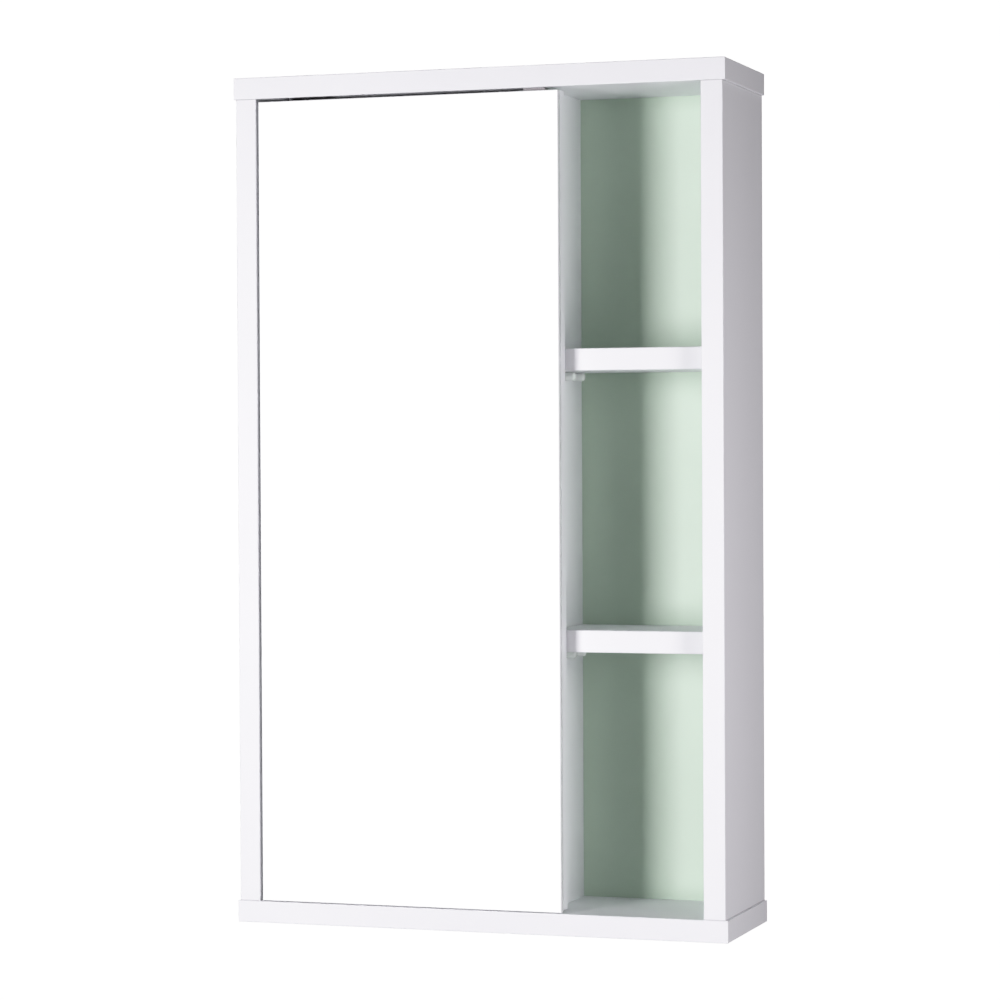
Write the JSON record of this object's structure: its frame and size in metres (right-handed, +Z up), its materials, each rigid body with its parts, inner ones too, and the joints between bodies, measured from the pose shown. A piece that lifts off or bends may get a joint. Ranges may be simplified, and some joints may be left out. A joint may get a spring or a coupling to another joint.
{
  "type": "bathroom mirror cabinet",
  "caption": "Wall-hung bathroom cabinet with a handleless mirror door on pivot hinges beside open shelf bays with a pale green back.",
  "frame": {"origin": "on the wall plane, midway between the upper pair of wall screw holes", "axes": "+X to the right as seen from the front, +Y into the wall, +Z up"},
  "size_m": [0.42, 0.127, 0.7],
  "materials": {
    "white_board": "satin white lacquered board",
    "green_back": "matt pale green sheet",
    "raw_board": "plain white-faced board",
    "dowel_wood": "plain beech",
    "mirror": "silvered glass",
    "adhesive": "white bonding layer",
    "plated_steel": "bright zinc plate",
    "cam_zinc": "die-cast zinc",
    "peg_plastic": "translucent white plastic",
    "washer_nylon": "natural nylon",
    "catch_plastic": "light grey plastic",
    "magnet": "dark ferrite",
    "bumper_rubber": "clear soft plastic"
  },
  "bodies": {
    "carcass": {"top_panel": "white_board", "bottom_panel": "white_board", "left_side_panel": "white_board", "right_side_panel": "white_board", "divider_panel": "white_board", "back_panel": "green_back", "upper_hanging_rail": "raw_board", "lower_hanging_rail": "raw_board", "open_shelf_lower": "white_board", "open_shelf_upper": "white_board", "inner_shelf_lower": "white_board", "inner_shelf_upper": "white_board", "open_shelf_pegs": "peg_plastic", "inner_shelf_pegs": "peg_plastic", "panel_dowels": "dowel_wood", "rail_dowels": "dowel_wood", "cam_locks": "cam_zinc", "cam_bolts": "plated_steel", "upper_bush_plate": "plated_steel", "lower_bush_plate": "plated_steel", "bush_plate_screws": "plated_steel", "thrust_washer": "washer_nylon", "catch_housing": "catch_plastic", "catch_magnet": "magnet"},
    "door": {"mirror_glass": "mirror", "mirror_adhesive": "adhesive", "door_board": "white_board", "upper_pivot_plate": "plated_steel", "lower_pivot_plate": "plated_steel", "pivot_plate_screws": "plated_steel", "catch_strike": "plated_steel", "catch_strike_screws": "plated_steel", "door_bumpers": "bumper_rubber"}
  },
  "joints": [
    {"name": "door_swing", "type": "hinge", "parent": "carcass", "child": "door", "pos_m": [-0.087, -0.118, -0.297], "axis": [0, 0, -1], "range_deg": [0, 140]}
  ]
}
